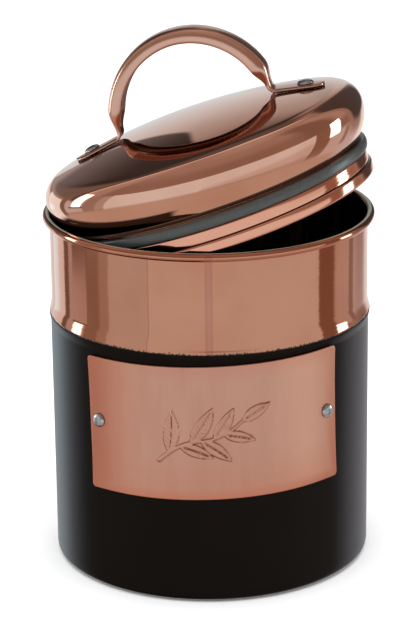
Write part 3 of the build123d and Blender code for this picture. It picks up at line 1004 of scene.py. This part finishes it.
PLATE_TINT = (0.74, 0.365, 0.245)
PLATE_RIGHT_LIGHT = (0.91, 0.466, 0.311)
PAINT_DARK = (0.0042, 0.0026, 0.0016)
PAINT_LIGHT = (0.0056, 0.0038, 0.0026)
PAINTED_LEFT_SHEEN = (0.017, 0.004, 0.007)
PAINT_SHEEN = (0.80, 0.66, 0.64)
RUBBER_DARK = (0.027, 0.030, 0.028)
RUBBER_DUST = (0.058, 0.063, 0.059)
RUBBER_SHEEN = (1, 0.92, 0.84)
RIVET_TINT = (0.62, 0.60, 0.58)
BASE_DARK = (0.012, 0.011, 0.010)
BASE_LIGHT = (0.022, 0.020, 0.018)


def satin_copper(piece):
    """Satin brushed copper sheet: fine upright grain, a redder border, painted light towards the
    right and painted shade at the left end, low down and in the grooves.
    """
    sh = new_material("satin_copper_finish")
    _, x, y, z, _ = own_coordinates(sh)
    turn = sh.times(sh.math("ARCTAN2", x, sh.times(y, -1)), PLATE_OUTER)

    def drawn(along, upright, seed, scale, detail, roughness):
        place = sh.join(sh.times(turn, along), sh.times(z, upright), seed)
        return sh.noise(place, scale, detail, roughness)

    grain = drawn(3, 0.10, 0, 1.6, 4, 0.7)
    cross = drawn(0.10, 2.6, 4, 1.6, 3, 0.6)
    broad = drawn(0.16, 0.02, 2, 1, 3, 0.5)
    base = sh.mix(sh.step(broad, 0.35, 0.65), PLATE_TINT, tinted(PLATE_TINT, 0.96, 0.93, 0.91))
    # painted light: the plate turns lighter towards its right end
    base = sh.mix(sh.step(turn, 14, 44), base, PLATE_RIGHT_LIGHT)
    # redder along the border, more so low down; painted shade makes the left end and the lower
    # part redder and darker
    edge = sh.times(sh.step(sh.varied(sh.layer("border"), grain, 1.2), 0.2, 6.5, 1, 0),
                    sh.linear(z, PLATE_CENTRE_Z - 18, PLATE_CENTRE_Z + 18, 0.8, 0.3))
    left = sh.step(turn, -46, -18, 0.75, 0)
    low = sh.step(z, PLATE_CENTRE_Z - 4, PLATE_CENTRE_Z - 20, 0, 0.28)
    redder_border_and_shade = sh.math("MAXIMUM", edge, sh.math("MAXIMUM", left, low))
    base = sh.mix(redder_border_and_shade, base, tinted(PLATE_TINT, 1.02, 0.66, 0.56))
    # painted shade: darker, redder copper in the grooves round the embossing
    base = sh.mix(sh.layer("groove"), base, tinted(PLATE_TINT, 0.62, 0.36, 0.30))
    normal = sh.bump(sh.plus(sh.times(grain, 0.7), sh.times(cross, 0.3)), 0.25, 0.00006)
    paint(piece, sh, sh.surface(base, sh.varied(0.38, grain, 0.22), normal, metallic=1))


def black_paint(piece):
    """Satin black stoved paint outside and glossier lacquer inside, with a fine orange peel and a
    painted sheen along the left edge.
    """
    sh = new_material("satin_black_paint")
    own, x, _, _, radius = own_coordinates(sh)
    speck = sh.noise(own, 6, 2, 0.6)
    peel = sh.plus(sh.noise(own, 1.1, 2, 0.5), sh.times(speck, 0.25))
    base = sh.mix(sh.noise(own, 0.04, 3, 0.6), PAINT_DARK, PAINT_LIGHT)
    outside = sh.step(radius, SHELL_RADIUS - 0.35, SHELL_RADIUS - 0.15)
    rough = sh.plus(sh.times(sh.varied(0.36, speck, 0.10), outside),
                    sh.times(sh.minus(1, outside), 0.18))
    facing = sh.node("LayerWeight", {"Blend": 0.5}, 1)
    # painted light: the sheen is weaker on the left and stronger on the right
    sheen = sh.times(sh.step(facing, 0.42, 0.74, 0.07, 0.70),
                     sh.linear(x, -50, 50, 0.66, 1.25))
    # painted sheen: a reddish tone in the paint's colour along its grazing left edge
    painted_left_sheen_mask = sh.times(sh.step(facing, 0.45, 0.85), sh.step(x, -20, -50))
    base = sh.mix(painted_left_sheen_mask, base, PAINTED_LEFT_SHEEN)
    normal = sh.bump(peel, 0.10, 0.00008)
    paint(piece, sh, sh.surface(base, rough, normal, specular=sheen, tint=PAINT_SHEEN))


def rubber(piece):
    """Smooth dark rubber with a little dust in it."""
    sh = new_material("seal_rubber_finish")
    own = own_coordinates(sh)[0]
    dust = sh.noise(sh.stretched(own, (0.5, 0.5, 3)), 0.6, 4, 0.65)
    base = sh.mix(dust, RUBBER_DARK, RUBBER_DUST)
    normal = sh.bump(sh.noise(own, 5, 3, 0.6), 0.12, 0.00008)
    rough = sh.plus(0.26, sh.times(dust, 0.14))
    paint(piece, sh, sh.surface(base, rough, normal, tint=RUBBER_SHEEN))


def rivet_steel(piece):
    """Bright rivet metal with tumbling dents, darker in its hollows."""
    sh = new_material(piece.name + "_finish")
    own = own_coordinates(sh)[0]
    dents = sh.noise(own, 0.9, 3, 0.6)
    fine = sh.noise(own, 4, 3, 0.6)
    base = sh.mix(sh.step(dents, 0.35, 0.65), tinted(RIVET_TINT, 0.55, 0.55, 0.55), RIVET_TINT)
    normal = sh.bump(sh.plus(dents, sh.times(fine, 0.2)), 0.35, 0.0002)
    rough = sh.plus(0.24, sh.times(fine, 0.14))
    paint(piece, sh, sh.surface(base, rough, normal, metallic=1))


def base_metal(piece):
    """Pressed steel base under dark lacquer, with faint circular press marks."""
    sh = new_material("base_disc_finish")
    place = sh.scaled(sh.node("TexCoord", output=3), 1 / MM)
    x, y, _ = sh.parts(place)
    rings = sh.noise(sh.join(sh.times(sh.from_axis(x, y), 1.5), 0, 0), 1, 3, 0.6)
    base = sh.mix(sh.noise(place, 0.06, 3, 0.6), BASE_DARK, BASE_LIGHT)
    rough = sh.plus(0.24, sh.times(rings, 0.18))
    paint(piece, sh, sh.surface(base, rough, sh.bump(rings, 0.15, 0.0001)))


# ---- studio

CEILING = (0.31, 0.24, 0.21)
HIGH_CEILING = (0.40, 0.33, 0.31)
OVERHEAD = (0.46, 0.43, 0.42)
RIGHT_DUSK = (0.25, 0.19, 0.165)
RIGHT_HAZE = (0.45, 0.40, 0.38)
LEFT_HAZE = (0.46, 0.41, 0.40)
TABLE = (0.555, 0.50, 0.47)
NEAR_TABLE = (0.54, 0.48, 0.45)
LEFT_WALL = (0.62, 0.66, 0.72)
LEFT_GAP = (0.37, 0.335, 0.315)
LEFT_SCREEN = (0.50, 0.50, 0.50)
RIGHT_GAP = (0.29, 0.20, 0.16)
RIGHT_WALL = (0.64, 0.66, 0.72)
RIGHT_POST = (0.36, 0.33, 0.32)
ALCOVE_FRAME = (0.85, 0.80, 0.78)
ALCOVE_DIAGONAL = (0.20, 0.185, 0.18)
DOORWAY_FRAME = (0.36, 0.30, 0.28)
BRIGHT_SWEEP = (1, 1.2, 1.3)
BRIGHTEST_SWEEP = (1.06, 1.50, 1.66)
WHITE_SWEEP = (0.93, 0.92, 0.92)
SWEEP_EDGE = (0.24, 0.20, 0.18)
BACKDROP_LOW = (0.72, 0.79, 0.82)
BACKDROP_HIGH = (0.35, 0.315, 0.305)
STRIP_STAND = (0.26, 0.21, 0.19)
STRIP_LIGHT = (5.2, 6.6, 7.6)
FRONT_PANEL = (0.77, 0.92, 1.04)
PANEL_SHADE = (0.66, 0.69, 0.71)
DARK_GAP = (0.03, 0.022, 0.02)
GAP_AXIS = (0.284, 0.466, -0.838)  # towards the gap behind and below the lid's low side
SOFT_FILL = (0.96, 0.96, 0.96)
SOFT_STRENGTH = 1.35


def grey(value):
    return (value, value * 0.96, value)


def build_world():
    """A product studio by direction: front panel, strip lights, dim ceiling, pale backdrop.

    Azimuth is 0 towards the camera and +90 to its right, and rear is 0 straight behind the
    object. Elevation is above the horizon. Each patch is laid over the ones before it. Only
    reflections see the patches: the camera and the soft shading see a plain pale studio.
    """
    world = bpy.data.worlds.new("studio")
    bpy.context.scene.world = world
    sh = Shader(world)
    direction = sh.node("TexCoord", output=0)
    azimuth, elevation = sh.bearings(direction)
    x, y, _ = sh.parts(direction)
    rear = sh.degrees("ARCTAN2", x, y)
    light = sh.mix(sh.step(elevation, 28, 60), CEILING, HIGH_CEILING)

    def climb(*ends):
        """Smooth step by elevation."""
        return sh.step(elevation, *ends)

    def lay(tone, *masks):
        nonlocal light
        light = sh.mix(sh.times(*masks), light, tone)

    def patches(across, *ranges):
        """Lay tones over (low, high, softness) across by (low, high, softness) upward."""
        for tone, turn, rise in ranges:
            lay(tone, sh.window(across, *turn), sh.window(elevation, *rise))

    def fourth(value, centre, half):
        share = sh.math("DIVIDE", sh.minus(value, centre), half)
        return sh.math("POWER", sh.math("ABSOLUTE", share), 4)

    lay(OVERHEAD, climb(64, 86))
    patches(azimuth,
        (RIGHT_DUSK, (76, 112, 18), (-4, 70, 20)),
        (RIGHT_HAZE, (110, 140, 16), (10, 66, 16)),
        (LEFT_HAZE, (-122, -92, 14), (8, 62, 16)))
    lay(TABLE, climb(-31, -24, 1, 0))
    lay(NEAR_TABLE, climb(-62, -36, 1, 0))

    # sides, from the gaps beside the front panel round to the backdrop
    patches(azimuth,
        (LEFT_WALL, (-123, -99.5, 2), (-27, 12, 3)),
        (LEFT_GAP, (-99.5, -70, 1.5), (-27, 12, 3)),
        (LEFT_SCREEN, (-86.5, -70, 2.5), (-27, 12, 3)),
        (RIGHT_GAP, (70, 100.5, 1.5), (-18.8, 9, 0.8)),
        (RIGHT_WALL, (102, 180, 4), (-30, -5, 5)),
        (RIGHT_POST, (120.5, 127, 3), (-23, -6, 4)))

    # behind on the left: a dark alcove with a rounded frame, dimmest along a diagonal
    alcove = sh.plus(fourth(rear, -15, 50), fourth(elevation, 0, 70))
    above = climb(-4, 5)
    left_of_doorway = sh.step(rear, 44, 36)
    lay(ALCOVE_FRAME, sh.step(alcove, 1.9, 1.15), above, sh.window(rear, -70, 44, 14))
    diagonal = sh.plus(elevation, sh.sloped(rear, 1.17, 10.5))
    dusk = sh.mix(climb(3, 24), grey(0.18), grey(0.045))
    dusk = sh.mix(climb(36, 60), dusk, grey(0.145))
    dusk = sh.mix(sh.step(diagonal, -4, -20), dusk, ALCOVE_DIAGONAL)
    lay(dusk, sh.step(alcove, 1.06, 0.92), above, left_of_doorway)
    lay(grey(0.085), sh.window(alcove, 0.74, 1, 0.16), above, left_of_doorway)
    # behind on the right: a dark doorway
    doorway = sh.plus(fourth(rear, 31.5, 18.5), fourth(elevation, 21, 29))
    lay(DOORWAY_FRAME, sh.step(doorway, 4.5, 1.5), sh.step(rear, 10, 18))
    lay(grey(0.08), sh.step(doorway, 1.5, 0.7))
    # behind and low: white paper either side of the backdrop
    patches(rear,
        (BRIGHT_SWEEP, (-51, -27, 2), (-60, -1, 2)),
        (BRIGHTEST_SWEEP, (-40, -27, 2), (-20.5, -14, 2)),
        (WHITE_SWEEP, (-27, 0, 3), (-60, -5, 5)),
        (WHITE_SWEEP, (-0.5, 29.6, 10), (-60, -8, 4)),
        (SWEEP_EDGE, (-58, -51.5, 2.5), (-30, 10, 5)))
    backdrop = sh.mix(climb(0, 32), BACKDROP_LOW, BACKDROP_HIGH)
    slanted = sh.plus(rear, climb(15.5, 25, 0, 2.6))
    lay(backdrop, sh.window(slanted, -11, 16, 0.7), sh.step(rear, 2, -2),
        sh.window(elevation, -30, 27, 12))
    patches(rear, (backdrop, (0, 9.5, 4), (-30, 46, 12)))

    # strip lights, the left one on a thin stand
    patches(azimuth,
        (STRIP_STAND, (-116.5, -98.5, 1), (-17, -13.5, 1)),
        (STRIP_LIGHT, (-112.8, -102.6, 1.5), (-12.8, 17, 2.5)),
        (STRIP_LIGHT, (101, 112.5, 1.5), (-8, 15, 2.5)))

    # front panel, its lower right shaded
    top = sh.sloped(sh.math("MINIMUM", azimuth, 0), -0.05, 8.6)
    shade = sh.sloped(azimuth, 0.10, -29)
    shade = sh.times(sh.step(sh.minus(elevation, shade), -1, 2.5, 1, 0),
                     sh.step(azimuth, 2, 5))
    lay(sh.mix(shade, FRONT_PANEL, PANEL_SHADE),
        sh.step(sh.minus(elevation, top), -1.2, 1.2, 1, 0),
        climb(-31, -24), sh.window(azimuth, -77.5, 85.3, 1.6))

    # the dark gap between the lid's low side and the canister
    towards_gap = sh.vector("DOT_PRODUCT", direction, GAP_AXIS, output=1)
    lay(DARK_GAP, sh.step(towards_gap, 0.47, 0.55), sh.window(azimuth, -150, -12, 16),
        climb(-28, -34))

    path = sh.made("LightPath").outputs
    mirrored = sh.node("Background", {"Color": light})
    soft = sh.node("Background", {"Color": SOFT_FILL, "Strength": SOFT_STRENGTH})
    plain = sh.math("MAXIMUM", path["Is Camera Ray"], path["Is Diffuse Ray"])
    sh.finish("OutputWorld", sh.over(plain, mirrored, soft))
    world.cycles.sampling_method = "MANUAL"
    world.cycles.sample_map_resolution = 1024


FLOOR_SIZE = 6  # metres from the middle to each side
FLOOR_DROP = 0.0001
FLOOR_TONES = ((0.93, 0.93, 0.93), (0.95, 0.95, 0.95))


def build_floor():
    """Plain pale floor, lit for the eye and for soft light but left out of sharp reflections."""
    bm = bmesh.new()
    bmesh.ops.create_grid(bm, x_segments=1, y_segments=1, size=FLOOR_SIZE)
    mesh = bpy.data.meshes.new("floor")
    bm.to_mesh(mesh)
    bm.free()
    mesh.transform(Matrix.Translation((0, 0, -FLOOR_DROP)))
    floor = add_object("floor", mesh)
    floor.visible_glossy = False
    sh = new_material("pale_floor")
    place = sh.node("TexCoord", output=3)
    tone = sh.mix(sh.noise(place, 3, 2, 0.5), *FLOOR_TONES)
    paint(floor, sh, sh.surface(tone, 0.9, specular=0.1))


def build_lights():
    """One broad overhead light for the floor and for soft shading."""
    data = bpy.data.lights.new("overhead", "AREA")
    data.shape = "DISK"
    data.size = 1.8
    data.energy = 12
    overhead = add_object("overhead", data)
    overhead.location = (0, -0.2, 1.6)
    overhead.rotation_euler = (radians(-7), 0, 0)
    overhead.visible_glossy = False
    overhead.visible_camera = False


# ---- camera

CAMERA_ELEVATION = 18.09
CAMERA_DISTANCE = 0.907
CAMERA_AIM = Vector((-0.0006, 0, 0.0875))
CAMERA_ROLL = -0.66
CAMERA_LENS = 146.55


def build_camera():
    """The photo's camera, fitted to the rim, the bead, the base and the sides."""
    rise = radians(CAMERA_ELEVATION)
    turn = radians(CAMERA_ROLL)
    level = Vector((1, 0, 0))
    back = Vector((0, -cos(rise), sin(rise)))
    up = Vector((0, sin(rise), cos(rise)))
    right = level * cos(turn) + up * sin(turn)
    upward = up * cos(turn) - level * sin(turn)
    data = bpy.data.cameras.new("photo_camera")
    data.lens = CAMERA_LENS
    data.clip_start = 0.01
    data.clip_end = 50
    camera = add_object("photo_camera", data)
    rotation = Matrix((right, upward, back)).transposed().to_4x4()
    camera.matrix_world = Matrix.Translation(CAMERA_AIM + back * CAMERA_DISTANCE) @ rotation
    bpy.context.scene.camera = camera


# ---- the caddy in its studio

black_paint(build_shell())
polished_copper(build_collar(), "band", BAND_SHADED_TINT, 0.06, 0.007, ring_jitter=0.032)
satin_copper(build_plate())
polished_copper(build_dome(), "dome", DOME_TINT, 0.035, 0.005)
polished_copper(build_plug_ring(), "plug", PLUG_TINT, 0.09, 0.006, ring_jitter=0.05)
polished_copper(build_pan(), "pan", PLUG_TINT, 0.09, 0.006, ring_jitter=0.05)
rubber(build_seal())
polished_copper(build_handle(), "handle", HANDLE_TINT, 0.24, 0.01)
for rivet in build_rivets():
    rivet_steel(rivet)
base_metal(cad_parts["base_disc"])

build_world()
build_floor()
build_lights()
build_camera()
bpy.context.scene.view_settings.view_transform = "Standard"
